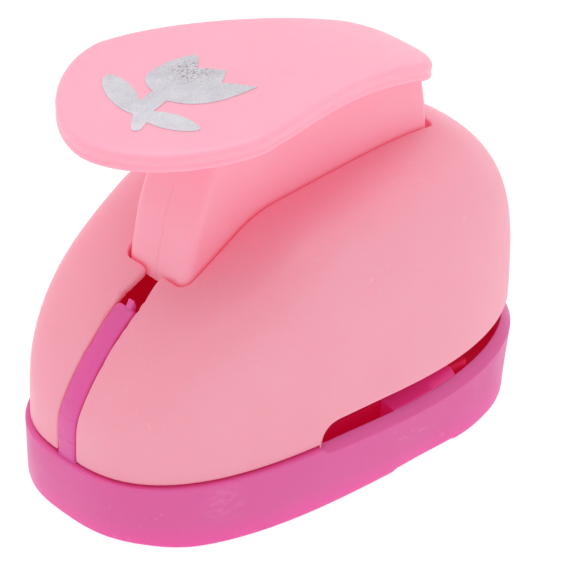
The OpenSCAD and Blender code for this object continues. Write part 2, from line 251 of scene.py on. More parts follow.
def length_fractions(points):
    """How far along its polyline each point lies, from 0 to 1."""
    steps = np.linalg.norm(np.diff(points, axis=0), axis=1)
    at = np.concatenate([[0], np.cumsum(steps)])
    return at / at[-1]


def resample(points, fractions):
    """Points at the given fractions of a polyline's length."""
    points = np.asarray(points, float)
    at = length_fractions(points)
    return np.stack([np.interp(fractions, at, points[:, k]) for k in range(points.shape[1])], -1)


def round_corners(points, radii, steps):
    """Open polyline with its corners turned into arcs; a corner of radius 0 stays one point."""
    points = [np.asarray(p, float) for p in points]
    path = []
    for i, (p, r) in enumerate(zip(points, radii)):
        if r == 0:
            path.append(p)
            continue
        a = points[i - 1] - p
        b = points[i + 1] - p
        a /= np.linalg.norm(a)
        b /= np.linalg.norm(b)
        half = math.acos(np.clip(np.dot(a, b), -1, 1)) / 2
        middle = p + (a + b) / np.linalg.norm(a + b) * r / math.sin(half)
        start = p + a * r / math.tan(half) - middle
        sweep = math.pi - 2 * half
        side = b * r / math.tan(half) + p - middle
        for k in range(steps + 1):
            f = k / steps
            turned = math.sin((1 - f) * sweep) * start + math.sin(f * sweep) * side
            path.append(middle + turned / math.sin(sweep))
    return np.array(path)


# ---- meshes -------------------------------------------------------------------------------

def grid_faces(rows, cols, wrap=False):
    """Quads between the points of a grid; with wrap, each row closes on itself."""
    faces = []
    for r in range(rows - 1):
        for c in range(cols if wrap else cols - 1):
            a = r * cols + c
            b = r * cols + (c + 1) % cols
            faces.append((a, b, b + cols, a + cols))
    return faces


def make_object(name, verts, faces):
    """Object from points in millimetres, with its normals pointing out."""
    mesh = bpy.data.meshes.new(name)
    mesh.from_pydata([tuple(float(c) * MM for c in v) for v in verts], [], faces)
    mesh.update()
    obj = bpy.data.objects.new(name, mesh)
    bpy.context.scene.collection.objects.link(obj)
    edit(obj, lambda bm: bmesh.ops.recalc_face_normals(bm, faces=bm.faces))
    return obj


def edit(obj, change):
    bm = bmesh.new()
    bm.from_mesh(obj.data)
    change(bm)
    bm.to_mesh(obj.data)
    bm.free()


def weld(obj, distance=1e-6):
    """Merges points that lie closer together than distance, in metres."""
    edit(obj, lambda bm: bmesh.ops.remove_doubles(bm, verts=bm.verts, dist=distance))


def apply_modifiers(obj):
    depsgraph = bpy.context.evaluated_depsgraph_get()
    mesh = bpy.data.meshes.new_from_object(obj.evaluated_get(depsgraph), depsgraph=depsgraph)
    obj.modifiers.clear()
    obj.data = mesh


def bevel(obj, width, angle, segments):
    m = obj.modifiers.new("bevel", "BEVEL")
    m.width = width * MM
    m.segments = segments
    m.limit_method = "ANGLE"
    m.angle_limit = math.radians(angle)
    m.use_clamp_overlap = False
    apply_modifiers(obj)


def combine(obj, other, operation):
    """Exact boolean of obj with other, which is then removed."""
    m = obj.modifiers.new("combine", "BOOLEAN")
    m.operation = operation
    m.solver = "EXACT"
    m.object = other
    apply_modifiers(obj)
    bpy.data.objects.remove(other)
    return obj


def join(obj, others):
    """Puts the meshes of others into obj, as islands of their own."""
    bm = bmesh.new()
    bm.from_mesh(obj.data)
    for other in others:
        bm.from_mesh(other.data)
    bm.to_mesh(obj.data)
    bm.free()
    for other in others:
        bpy.data.objects.remove(other)
    return obj


def shade(obj, angle=35):
    obj.data.shade_smooth()
    obj.data.set_sharp_from_angle(angle=math.radians(angle))


def loft(name, sections):
    """Solid lofted between closed sections of equal length, with both ends capped."""
    n = len(sections[0])
    verts = [v for section in sections for v in section]
    faces = grid_faces(len(sections), n, wrap=True)
    faces += [tuple(range(n)), tuple(range(len(verts) - n, len(verts)))]
    return make_object(name, verts, faces)


def side_prism(name, profile, y0, y1):
    """Prism of an XZ profile between two places along Y."""
    n = len(profile)
    verts = [(x, y0, z) for x, z in profile] + [(x, y1, z) for x, z in profile]
    faces = [tuple(range(n)), tuple(range(2 * n - 1, n - 1, -1))]
    faces += [(i, (i + 1) % n, n + (i + 1) % n, n + i) for i in range(n)]
    return make_object(name, verts, faces)


def circle(cx, cy, r, steps=64):
    return [(cx + r * math.cos(2 * math.pi * i / steps), cy + r * math.sin(2 * math.pi * i / steps))
            for i in range(steps)]


def plan_tube(name, x, y, z0, z1, r_out, r_in, steps=40):
    """Upright tube with a flat top, chamfered edges and an open bore."""
    chamfer, countersink = 0.3, 0.2
    rings = [(r_in, z0), (r_out, z0), (r_out, z1 - chamfer), (r_out - chamfer, z1),
             (r_in + countersink, z1), (r_in, z1 - countersink)]
    verts = [(px, py, z) for r, z in rings + rings[:1] for px, py in circle(x, y, r, steps)]
    obj = make_object(name, verts, grid_faces(len(rings) + 1, steps, wrap=True))
    weld(obj)
    return obj


def place(obj, body, slot, materials, *nodes):
    """Gives a finished piece its materials and body, and hides the CAD nodes that it stands for; slot is not
    used.
    """
    for m in materials:
        obj.data.materials.append(m)
    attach(obj, body)
    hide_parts(*nodes)


# ---- materials ----------------------------------------------------------------------------

def srgb(r, g, b):
    """Linear colour from 0-255 display values."""
    def channel(c):
        c /= 255
        return c / 12.92 if c <= 0.04045 else ((c + 0.055) / 1.055) ** 2.4
    return (channel(r), channel(g), channel(b), 1)


class Nodes:
    """Short way to wire one material's nodes."""

    def __init__(self, name):
        self.material = bpy.data.materials.new(name)
        self.material.use_nodes = True
        self.tree = self.material.node_tree
        self.shader = self.tree.nodes["Principled BSDF"]
        self.place = self.tree.nodes.new("ShaderNodeTexCoord").outputs["Object"]

    def add(self, kind, inputs=None, **settings):
        node = self.tree.nodes.new(kind)
        for key, value in settings.items():
            setattr(node, key, value)
        for key, value in (inputs or {}).items():
            self.set(node.inputs[key], value)
        return node

    def set(self, socket, value):
        if isinstance(value, bpy.types.NodeSocket):
            self.tree.links.new(value, socket)
        else:
            socket.default_value = value

    def shade(self, **values):
        for key, value in values.items():
            self.set(self.shader.inputs[key.replace("_", " ")], value)

    def stretched(self, scale, turn):
        inputs = {"Vector": self.place, "Scale": scale, "Rotation": turn}
        return self.add("ShaderNodeMapping", inputs).outputs[0]

    def noise(self, size_mm, detail, roughness=0.5, at=None):
        inputs = {"Vector": at or self.place, "Scale": 1 / (size_mm * MM), "Detail": detail,
                  "Roughness": roughness}
        return self.add("ShaderNodeTexNoise", inputs).outputs["Fac"]

    def cell_edges(self, size_mm):
        inputs = {"Vector": self.place, "Scale": 1 / (size_mm * MM)}
        return self.add("ShaderNodeTexVoronoi", inputs, feature="DISTANCE_TO_EDGE").outputs["Distance"]

    def distance(self, point):
        inputs = {0: self.place, 1: point}
        return self.add("ShaderNodeVectorMath", inputs, operation="DISTANCE").outputs["Value"]

    def spread(self, value, low, high, to_low=0.0, to_high=1.0):
        inputs = {"Value": value, "From Min": low, "From Max": high, "To Min": to_low, "To Max": to_high}
        return self.add("ShaderNodeMapRange", inputs).outputs[0]

    def math(self, operation, a, b):
        return self.add("ShaderNodeMath", {0: a, 1: b}, operation=operation).outputs[0]

    def mix(self, factor, a, b):
        node = self.add("ShaderNodeMix", data_type="RGBA")
        self.set(node.inputs[0], factor)
        self.set(node.inputs[6], a)
        self.set(node.inputs[7], b)
        return node.outputs[2]

    def bump(self, height, depth_mm, strength, onto=None):
        inputs = {"Height": height, "Distance": depth_mm * MM, "Strength": strength}
        if onto:
            inputs["Normal"] = onto
        return self.add("ShaderNodeBump", inputs).outputs[0]


# The look of each plastic: main and cloudy colour, roughness, size and depth of the grain in mm, strength of
# the scuffs, glow below the surface, and strength and colour of a painted red glow, an emission that lifts
# the shade
PLASTICS = {
    "lever_plastic": dict(
        colour=(0.81, 0.43, 0.54, 1), cloudy=(0.81, 0.41, 0.52, 1), rough=0.36, grain=(0.5, 0.006),
        scuff=0.25, glow=0.4, painted_glow=0.21, painted_glow_colour=(1, 0.03, 0.1, 1)),
    "cover_plastic": dict(
        colour=(0.77, 0.38, 0.47, 1), cloudy=(0.77, 0.36, 0.45, 1), rough=0.44, grain=(0.26, 0.04),
        scuff=0.5, glow=0.4, painted_glow=0.16, painted_glow_colour=(1, 0.03, 0.1, 1)),
    "base_plastic": dict(
        colour=(0.70, 0.11, 0.35, 1), cloudy=(0.69, 0.105, 0.335, 1), rough=0.38, grain=(0.4, 0.01),
        scuff=0.4, glow=0.3, painted_glow=0.06, painted_glow_colour=(1, 0, 0.3, 1),
        # foot: painted light, a brighter hot pink towards the underside for light bounced up from the floor
        foot=(0.80, 0.09, 0.38, 1), smear=(-0.0243, -0.0165, 0.006)),
    # Ramp: a more saturated copy of the base plastic with a painted glow, painted shade for its place under
    # the cover
    "ramp_painted_shade": dict(
        colour=(0.80, 0.05, 0.30, 1), cloudy=(0.78, 0.045, 0.28, 1), rough=0.45, grain=(0.4, 0.01),
        scuff=0.2, glow=0.2, painted_glow=0.12, painted_glow_colour=(1, 0, 0.18, 1)),
    "tongue_plastic": dict(
        colour=(0.70, 0.11, 0.36, 1), cloudy=(0.68, 0.10, 0.34, 1), rough=0.34, grain=(0.3, 0.02),
        scuff=1.4, glow=0.3, painted_glow=0.08, painted_glow_colour=(1, 0, 0.3, 1)),
    # Inside materials: darker red copies of the plastics for hollow faces, painted shade, with a stronger
    # painted red glow
    "cover_inside_painted_shade": dict(
        colour=(0.50, 0.006, 0.03, 1), cloudy=(0.46, 0.005, 0.025, 1), rough=0.6, grain=(0.5, 0.01),
        scuff=0, glow=0.1, painted_glow=0.22, painted_glow_colour=(1, 0, 0.03, 1), sheen=0.15),
    "base_inside_painted_shade": dict(
        colour=(0.42, 0.003, 0.05, 1), cloudy=(0.38, 0.003, 0.04, 1), rough=0.6, grain=(0.5, 0.01),
        scuff=0, glow=0.1, painted_glow=0.22, painted_glow_colour=(1, 0, 0.05, 1), sheen=0.15),
}


def moulded_plastic(name, colour, cloudy, rough, grain, scuff, glow, painted_glow, painted_glow_colour,
                    sheen=0.5, foot=None, smear=None):
    """Moulded plastic: cloudy colour, spark-eroded grain, thin pale handling scuffs, and a painted red glow
    that lifts the shade.
    foot is the colour towards the underside, painted light bounced up from the floor, and smear is the middle
    of a rubbed patch, in metres."""
    m = Nodes(name)
    base = m.mix(m.spread(m.noise(9, 4), 0.3, 0.7), colour, cloudy)
    # Painted light: brighter towards the underside, for light bounced up from the floor
    if foot:
        height = m.add("ShaderNodeSeparateXYZ", {0: m.place}).outputs["Z"]
        base = m.mix(m.spread(height, 0.0035, 0.0003), base, foot)
    patch = m.spread(m.noise(7, 3), 0.52, 0.7)
    streaks = m.noise(0.5, 5, 0.6, at=m.stretched((0.25, 1, 1), (0.3, 0.2, 0.6)))
    scuffs = m.math("MULTIPLY", m.spread(streaks, 0.6, 0.75), patch)
    if smear:
        rubbed = m.spread(m.distance(smear), 0.0036, 0.0006)
        scuffs = m.math("MAXIMUM", scuffs, m.math("MULTIPLY", m.spread(streaks, 0.45, 0.9), rubbed))
    pale = tuple(0.45 + 0.55 * c for c in colour)
    grain_size, grain_depth = grain
    texture = m.bump(m.noise(grain_size, 2, 0.55), grain_depth, 0.5)
    cloudy_rough = m.spread(m.noise(3, 4), 0.3, 0.7, rough - 0.04, rough + 0.05)
    # The emission is painted light: a constant red glow that lifts the shade in creases and hollows
    m.shade(Base_Color=m.mix(m.math("MULTIPLY", scuffs, scuff), base, pale),
            Normal=m.bump(m.noise(6, 2), 0.03, 0.35, texture),
            Roughness=m.math("ADD", cloudy_rough, m.math("MULTIPLY", scuffs, 0.12)),
            Subsurface_Weight=glow, Subsurface_Radius=(1.0, 0.22, 0.28), Subsurface_Scale=0.004,
            IOR=1.46, Specular_IOR_Level=sheen,
            Emission_Color=painted_glow_colour, Emission_Strength=painted_glow)
    return m.material


def foil_material():
    """Hot-stamped silver foil: matt grain, cloudy tone, and a crackled patch on the petals."""
    m = Nodes("stamped_foil")
    grain = m.noise(0.12, 3, 0.7)
    tone = m.mix(m.spread(m.noise(2.5, 3), 0.3, 0.7), srgb(210, 206, 214), srgb(226, 222, 229))
    speckle = m.noise(0.2, 2, 0.8)
    tone = m.mix(m.spread(speckle, 0.46, 0.3, 0, 0.6), tone, srgb(182, 174, 186))
    tone = m.mix(m.spread(speckle, 0.56, 0.7, 0, 0.8), tone, srgb(240, 238, 242))
    worn = m.spread(m.distance((-0.0145, 0.0015, 0.0538)), 0.0036, 0.0012)
    cracks = m.math("MULTIPLY", m.spread(m.cell_edges(0.42), 0.11, 0.03), worn)
    crackle = m.math("MULTIPLY", cracks, m.spread(m.noise(0.5, 3), 0.42, 0.55))
    m.shade(Base_Color=m.mix(crackle, tone, srgb(122, 96, 106)), Metallic=0.55,
            Roughness=m.spread(grain, 0.3, 0.7, 0.38, 0.55),
            Normal=m.bump(m.math("SUBTRACT", grain, crackle), 0.012, 0.6))
    return m.material


def ground_metal(name, colour, rough, turn=(0, 0, 0)):
    """Ground steel or cast zinc: directional grinding lines with a few stains."""
    m = Nodes(name)
    lines = m.noise(0.25, 4, 0.7, at=m.stretched((0.06, 1, 1), turn))
    stains = m.spread(m.noise(3, 5), 0.5, 0.75)
    stained = tuple(0.75 * c for c in colour[:3]) + (1,)
    m.shade(Base_Color=m.mix(stains, colour, stained), Metallic=1.0,
            Roughness=m.spread(lines, 0.3, 0.7, rough - 0.06, rough + 0.1),
            Normal=m.bump(lines, 0.01, 0.5))
    return m.material


# ---- cover --------------------------------------------------------------------------------

def slot_foot_z(x):
    """Height of the cover's lower edge over x: raised over the paper slot, with a rounded start."""
    middle = SLOT_START_X + SLOT_CORNER_R
    arc = SLOT_EDGE_Z - SLOT_CORNER_R + np.sqrt(np.maximum(SLOT_CORNER_R ** 2 - (x - middle) ** 2, 0))
    z = np.where(x > middle, SLOT_EDGE_Z - SLOT_EDGE_FALL * smooth(x, -4, 26), arc)
    return np.where(x < SLOT_START_X, COVER_FOOT, np.maximum(z, COVER_FOOT))


def cover_angles():
    """Outline angles of the cover's columns, from the tongue slot round to the middle of the hinge end."""
    dense = np.linspace(outline_t_of_front_y(TONGUE_SLOT_HALF, RIM_STEP), 0, 2000)
    at = length_fractions(outline(dense, RIM_STEP))
    angles = np.interp(np.linspace(0, 1, COVER_COLUMNS), at, dense)
    corner = [SLOT_START_X + SLOT_CORNER_R * (1 - math.cos(math.radians(a)))
              for a in (0, 6, 14, 24, 36, 50, 66, 90)]
    corner_t = [float(outline_t_of_x(x, RIM_STEP)) for x in corner]
    kept = [t for t in angles
            if min(abs(t - c) for c in corner_t) > 0.012 and not corner_t[-1] < t < corner_t[0]]
    just_before = float(outline_t_of_x(SLOT_START_X - 0.02, RIM_STEP))
    return np.array(sorted(kept + corner_t + [just_before], reverse=True))


def inner_angle(t):
    """Angle on the cover's inner outline that keeps walls square to the slots they border."""
    inset = RIM_STEP + COVER_WALL
    x, y = outline(t, RIM_STEP)
    angle = t + (1 - smooth(abs(x), 18, 27)) * (float(outline_t_of_x(x, inset)) - t)
    if x < 0:
        angle += (1 - smooth(y, 2.5, 8)) * (float(outline_t_of_front_y(y, inset)) - t)
    return angle


def cover_slot_path():
    """Edge of the cover round the lever slot, from the tongue slot back to the middle of the hinge end."""
    corners = [(LEVER_SLOT_FRONT, TONGUE_SLOT_HALF), (LEVER_SLOT_FRONT, LEVER_SLOT_HALF),
               (LEVER_SLOT_REAR, LEVER_SLOT_HALF), (LEVER_SLOT_REAR, 0)]
    return round_corners(corners, [0, 1.5, 1.1, 0], 8)


def cover_half(inset):
    """Half of the cover's surface, as rows of points from the lever slot down to the foot."""
    angles = cover_angles()
    foot_at = length_fractions(outline(angles, RIM_STEP))
    slot_at = np.interp(foot_at, [0, 0.145, 0.83, 1], [0, 0.102, 0.885, 1])     # lines up the corners
    starts = resample(cover_slot_path(), slot_at)
    ease = 1 - (1 - np.linspace(0, 1, 300)) ** 3
    columns = []
    for t, start in zip(angles, starts):
        angle = t if inset == 0 else inner_angle(t)
        foot = outline(angle, RIM_STEP + inset)
        if t == angles[-1]:
            foot[1] = 0
        low = float(slot_foot_z(outline(t, RIM_STEP)[0]))
        xy = start + (foot - start) * ease[:, None]
        z = dome_z(xy[:, 0], xy[:, 1], inset)
        line = [(x, y, h) for (x, y), h in zip(xy, z) if h > low + 0.02]
        line.append((foot[0], foot[1], low))
        columns.append(resample(line, np.linspace(0, 1, COVER_ROWS)))
    return np.stack(columns, 1)


def build_cover(materials):
    """Cover: an outer and an inner half shell, closed along their edges and mirrored, with posts and ears."""
    outer = cover_half(0)
    inner = cover_half(COVER_WALL)
    rows, cols = outer.shape[:2]
    verts = np.concatenate([outer.reshape(-1, 3), inner.reshape(-1, 3)])
    n = rows * cols
    outer_faces = grid_faces(rows, cols)
    faces = outer_faces + [tuple(v + n for v in f[::-1]) for f in outer_faces]
    hollow = range(len(outer_faces), len(faces))
    for c in range(cols - 1):
        faces.append((c + 1, c, n + c, n + c + 1))
        a = (rows - 1) * cols + c
        faces.append((a, a + 1, n + a + 1, n + a))
    for r in range(rows - 1):
        a = r * cols
        faces.append((a, a + cols, n + a + cols, n + a))
    mirrored = verts * np.array([1, -1, 1])
    total = len(verts)
    half_count = len(faces)
    faces += [tuple(v + total for v in f[::-1]) for f in faces]
    obj = make_object("cover_shell", np.concatenate([verts, mirrored]), faces)
    # The inner shell, and below the screw posts and ears, take the darker inside material: painted shade
    for i in hollow:
        obj.data.polygons[i].material_index = 1
        obj.data.polygons[i + half_count].material_index = 1
    weld(obj, 2e-6)
    edit(obj, lambda bm: bmesh.ops.recalc_face_normals(bm, faces=bm.faces))
    shape_narrow_slot(obj)
    bevel(obj, 0.32, 55, 4)
    extras = [cover_tube(side) for side in (-1, 1)] + [cover_ear(side) for side in (-1, 1)]
    for extra in extras:
        for p in extra.data.polygons:
            p.material_index = 1
    join(obj, extras)
    shade(obj)
    place(obj, "housing", "cover_plastic", materials, "cover")


def slot_nick(side, x, z):
    """Depth of the small moulding nicks along one edge of the narrow slot; they fade towards its ends."""
    chips = max(0.0, noise.noise(Vector((0.3 * side, 7.0 * side, 1.1 * z))) - 0.05)
    return 0.35 * chips * float(smooth(z, 12, 28)) * float(smooth(-x, 23, 25))


def shape_narrow_slot(obj):
    """Tightens the narrow front slot towards its top, nicks its edges and thins them there."""
    for v in obj.data.vertices:
        x, y, z = (c / MM for c in v.co)
        if x >= LEVER_SLOT_FRONT + 0.05 or abs(abs(y) - TONGUE_SLOT_HALF) >= 0.05:
            continue
        side = math.copysign(1, y)
        tight = (TONGUE_SLOT_HALF - TONGUE_SLOT_TOP) * float(smooth(x, TONGUE_SLOT_BEND, LEVER_SLOT_FRONT))
        v.co.y += side * (slot_nick(side, x, z) - tight) * MM
        upper = float(smooth(x, -30, -26))
        surface = float(dome_z(x, y, 0))
        if z < surface - 0.5:
            v.co.z = max(z, surface - COVER_WALL + 0.8 * upper) * MM
        else:
            v.co.z = (z - 0.25 * upper) * MM


def cover_tube(side):
    """Post for one cover screw, up to the roof above it."""
    x, y = SCREW_POST
    top = min(float(dome_z(x + SCREW_POST_R * math.cos(a), y + SCREW_POST_R * math.sin(a), COVER_WALL / 2))
              for a in np.linspace(0, 2 * math.pi, 24))
    return plan_tube("cover_tube", x, side * y, SCREW_POST_FOOT, top, SCREW_POST_R, SCREW_POST_BORE)


def cover_ear(side):
    """Ear that carries one end of the hinge pin, hanging from the roof."""
    px, pz = PIVOT
    arc = [(px + EAR_R * math.cos(a), pz + EAR_R * math.sin(a)) for a in np.linspace(-math.pi, 0, 25)]
    top = [(px + dx, float(dome_z(px + dx, EAR_Y[1], COVER_WALL / 2))) for dx in (3.4, 1.7, 0, -1.7, -3.4)]
    y0, y1 = sorted(side * y for y in EAR_Y)
    ear = side_prism("cover_ear", arc + top, y0, y1)
    bore = side_prism("ear_bore", circle(px, pz, PIN_BORE_EAR), y0 - 1, y1 + 1)
    return combine(ear, bore, "DIFFERENCE")


# ---- base ---------------------------------------------------------------------------------

def base_angles():
    """Outline angles of the base's columns: even steps, with more where the lip begins."""
    dense = np.linspace(0, 2 * math.pi, 8001)
    at = length_fractions(outline(dense, 0))
    even = list(np.interp(np.linspace(0, 1, 281)[:-1], at, dense))
    extra = []
    for x in np.arange(LIP_START_X - 0.2, LIP_START_X + LIP_BLEND + 0.3, 0.17):
        t = float(outline_t_of_x(x, 0))
        extra += [t, 2 * math.pi - t]
    kept = [t for t in even if min(abs(t - e) for e in extra) > 0.004]
    return np.array(sorted(kept + extra))


def lip_share(x):
    """0 on the full-height rim, 1 on the low sloping lip; its start is a quarter round."""
    s = np.clip((x - LIP_START_X) / LIP_BLEND, 0, 1)
    return math.sqrt(1 - (1 - s) ** 2)


def lip_edges(x):
    """Outer and inner height of the sloping lip over x."""
    fall = LIP_FALL * (x - 8)
    return LIP_LOW_Z - fall, min(LIP_HIGH_Z - 0.8 * fall, RIM_Z)


def relief(x):
    """Height of the base's underside: it rises a little at the thumb end and under the paper slot."""
    toe = 0.4 * smooth(-x, 27, 33)
    notch = 0.25 * smooth(x, 1.8, 2.2) * smooth(-x, -12.7, -12.3)
    return float(max(toe, notch))


def wall_lean(x):
    """How far the wall's foot stands in from its rim: in at both ends, and out before the rear corners."""
    thumb_end = 0.4 * smooth(-x, 30, 35)
    hinge_end = 0.6 * smooth(x, 24, 32)
    corner = 1.05 * smooth(x, 5, 17) * (1 - smooth(x, 20, 29))
    return float(thumb_end + hinge_end - corner)


def window_point(p):
    """Where the line from the chip window's middle to p leaves the window."""
    dx, dy = p[0] - WINDOW_X, p[1]
    s = min(WINDOW_HALF[0] / max(abs(dx), 1e-9), WINDOW_HALF[1] / max(abs(dy), 1e-9))
    return np.array([WINDOW_X + dx * s, dy * s])


def snap_window_corners(points):
    """Moves the nearest point of the window's edge onto each of its corners."""
    for cx in (WINDOW_X - WINDOW_HALF[0], WINDOW_X + WINDOW_HALF[0]):
        for cy in (-WINDOW_HALF[1], WINDOW_HALF[1]):
            i = int(np.argmin(np.hypot(points[:, 0] - cx, points[:, 1] - cy)))
            points[i] = (cx, cy)
    return points


def base_wall_section(x):
    """Section of the base wall over x, as (inset, height), from the floor up and round to the underside."""
    share = lip_share(x)
    lip_low, lip_high = lip_edges(x)
    high = RIM_Z + (lip_high - RIM_Z) * share
    low = RIM_Z + (lip_low - RIM_Z) * share
    under = relief(x)
    crest = BASE_WALL + (LIP_IN - BASE_WALL) * share
    corners = [(FLOOR_INSET, FLOOR_Z), (BASE_WALL, FLOOR_Z), (BASE_WALL, high - 1.2), (crest, high), (0, low),
               (wall_lean(x), under), (UNDER_INSET, under)]
    return round_corners(corners, [0, 0.4, 0, 0.12, 0.3, 0.45, 0], 4)


def base_tray():
    """Tray of the base, as columns of points that run from the chip window out over the floor and wall, and
    back along the underside."""
    angles = base_angles()
    window = snap_window_corners(np.array([window_point(outline(t, UNDER_INSET)) for t in angles]))
    columns = []
    for t, w in zip(angles, window):
        wall = [(*outline(t, inset), z) for inset, z in base_wall_section(float(outline(t, 0)[0]))]
        to_floor = outline(t, FLOOR_INSET) - w
        to_under = outline(t, UNDER_INSET) - w
        under = wall[-1][2]
        floor = [(*(w + to_floor * s), FLOOR_Z) for s in (0, 0.08, 0.5)]
        underside = [(*(w + to_under * s), under * s) for s in (0.5, 0.08, 0)]
        columns.append(floor + wall + underside)
    grid = np.array(columns).transpose(1, 0, 2)
    rows, cols = grid.shape[:2]
    faces = grid_faces(rows, cols, wrap=True)
    last = (rows - 1) * cols
    faces += [(last + c, last + (c + 1) % cols, (c + 1) % cols, c) for c in range(cols)]
    return make_object("base_tray", grid.reshape(-1, 3), faces)


def build_base(materials):
    """Base tray with its ramps, posts and nest walls; faces get the outer material, the darker inside
    material that paints shade, or the ramp material that paints shade.
    """
    obj = base_tray()
    inside = [is_base_inside(p) for p in obj.data.polygons]
    ramps = [ramp(side) for side in (-1, 1)]
    ramp_faces = sum(len(r.data.polygons) for r in ramps)
    posts = [plan_tube("post", x, y * side, FLOOR_Z - SUNK, top, r_out, r_in)
             for x, y, top, r_out, r_in in BASE_POSTS for side in (-1, 1)]
    join(obj, ramps + posts + [nest_wall(side) for side in (-1, 1)])
    # Inner wall, floor, posts and nest walls take the darker inside material, painted shade; the ramps take
    # the ramp material, painted shade
    tray_faces = len(inside)
    for i, p in enumerate(obj.data.polygons):
        if i < tray_faces:
            p.material_index = int(inside[i])
        else:
            p.material_index = 2 if i < tray_faces + ramp_faces else 1
    shade(obj)
    place(obj, "housing", "base_plastic", materials, "base")


def is_base_inside(p):
    """True for the faces of the base tray's inner wall and floor."""
    height = p.center.z / MM
    outwards = Vector((p.center.x, p.center.y, 0)).normalized()
    is_floor = p.normal.z > 0.9 and height < 3.5
    return 1.5 < height < 8.1 and (is_floor or p.normal.dot(outwards) < -0.3)


def ramp(side):
    """Ledge beside the die that carries the paper in through the slot; it rises inwards."""
    inner = NEST_Y[0]
    foot = FLOOR_Z - SUNK
    sections = []
    for x in np.linspace(*RAMP_X, 13):
        sunk, joint = (float(outline(outline_t_of_x(x, inset), inset)[1])
                       for inset in (LIP_IN - 0.3, LIP_IN + 0.05))
        high = lip_edges(x)[1]
        section = [(inner, foot), (inner, NEST_TOP + 0.02), (NEST_Y[1] + 0.1, NEST_TOP),
                   (joint, high - 0.02), (sunk, high - 0.5), (sunk, foot)]
        sections.append([(x, side * y, z) for y, z in section])
    return loft("ramp", sections)


def nest_wall(side):
    """Thin wall that holds the die set sideways."""
    x0, x1 = NEST_X
    y0, y1 = sorted(side * y for y in NEST_Y)
    foot = FLOOR_Z - SUNK
    wall = side_prism("nest_wall", [(x0, foot), (x1, foot), (x1, NEST_TOP), (x0, NEST_TOP)], y0, y1)
    bevel(wall, 0.15, 60, 2)
    return wall


def tongue_section(turn, nick):
    """Closed section of the tongue, across Y and into the dome, at one turn of the dome profile."""
    end = max(0.0, turn - TONGUE_TURN + TONGUE_TIP_ROUND) / TONGUE_TIP_ROUND
    half = TONGUE_HALF - 0.4 * (1 - math.sqrt(1 - end * end))
    shape = round_corners([(0, TONGUE_THICK), (half, TONGUE_THICK), (half, nick), (0, 0)],
                          [0, 0.15, 0.4, 0], 4)
    return [(y, d) for y, d in shape] + [(-y, d) for y, d in shape[::-1]]


def tongue_line(turn):
    """Point and inward direction of the tongue's outer face at a turn, in the XZ plane."""
    def point(a):
        k = FRONT_SHOULDER
        c, s = math.cos(math.radians(a)), math.sin(math.radians(a))
        size = (c ** k + s ** k) ** (1 / k)
        x = -(HALF_LEN - RIM_STEP - TONGUE_INSET) * c / size
        return np.array([x, RIM_Z + (float(roof(x)) - TONGUE_INSET - RIM_Z) * s / size])
    here = point(turn)
    along = point(turn + 0.5) - point(max(turn - 0.5, 0))
    along /= np.linalg.norm(along)
    return here, np.array([along[1], -along[0]])


def build_tongue(materials):
    """Strip that fills the cover's front slot, worn and nicked along its edges, with a lug behind its tip."""
    rng = np.random.default_rng(7)
    foot, _ = tongue_line(0)
    sections = [[(foot[0] + d, y, z) for y, d in tongue_section(0, 0)] for z in (FLOOR_Z, 5.0, 7.6)]
    tip_turns = [TONGUE_TURN - d for d in (0.3, 0.22, 0.15, 0.09, 0.04, 0.01, 0)]
    for turn in [*np.linspace(0, TONGUE_TURN - 0.4, 92), *tip_turns]:
        here, into = tongue_line(turn)
        nick = 0.14 * rng.random() if rng.random() < 0.12 else 0.0
        nick = max(nick, 0.4 * float(smooth(-abs(turn - TONGUE_NOTCH), -0.5, 0)))
        sink = 0.2 * float(smooth(turn, TONGUE_TURN - 0.6, TONGUE_TURN))
        sections.append([(here[0] + into[0] * (d + sink), y, here[1] + into[1] * (d + sink))
                         for y, d in tongue_section(turn, nick)])
    obj = loft("base_tongue", sections)
    weld(obj, 1e-7)
    join(obj, [tongue_lug()])
    shade(obj, 40)
    place(obj, "housing", "base_plastic", materials)


def tongue_lug():
    """Small hook that stands up behind the tongue's tip."""
    tip, _ = tongue_line(TONGUE_TURN)
    profile = [tip + np.array(p) for p in ((-0.3, -0.6), (0.45, 0.85), (0.6, 0.85), (0.9, 0), (0.6, -1.8))]
    lug = side_prism("lug", profile, -1.0, -0.1)
    bevel(lug, 0.08, 40, 2)
    return lug


# ---- lever --------------------------------------------------------------------------------

def pad_outline():
    """Plan outline of the thumb pad, from its front point round +Y to the rear and back."""
    s = np.linspace(math.pi / 2, 0, 46)
    front = np.stack([PAD_MIDDLE - (PAD_MIDDLE - PAD_FRONT) * signed_power(np.sin(s), 2 / PAD_SQUARE),
                      PAD_HALF * signed_power(np.cos(s), 2 / PAD_SQUARE)], -1)
    cx, cy, r = PAD_CORNER
    start = math.radians(PAD_CORNER_TURN)
    corner = [(cx + r * math.cos(a), cy + r * math.sin(a)) for a in np.linspace(start, 0, 16)]
    side = resample([front[-1], *PAD_SIDE, corner[0]], np.linspace(0, 1, 40))
    side[:, 1] = relax(side[:, 1])
    half = np.concatenate([front, side[1:-1], corner])
    rear = [(cx + r, y) for y in np.linspace(cy, -cy, 5)[1:-1]]
    mirrored = half[1:][::-1] * np.array([1, -1])
    return np.concatenate([half, rear, mirrored])


def relax(values, rounds=30):
    """Smooths a run of values, with both ends fixed."""
    values = values.copy()
    for _ in range(rounds):
        values[1:-1] = 0.25 * values[:-2] + 0.5 * values[1:-1] + 0.25 * values[2:]
    return values


def inward_normals(loop):
    """Unit normals of a closed plan loop, all to the same side of it."""
    ahead = np.roll(loop, -1, 0) - np.roll(loop, 1, 0)
    ahead /= np.linalg.norm(ahead, axis=1)[:, None]
    return np.stack([ahead[:, 1], -ahead[:, 0]], -1)


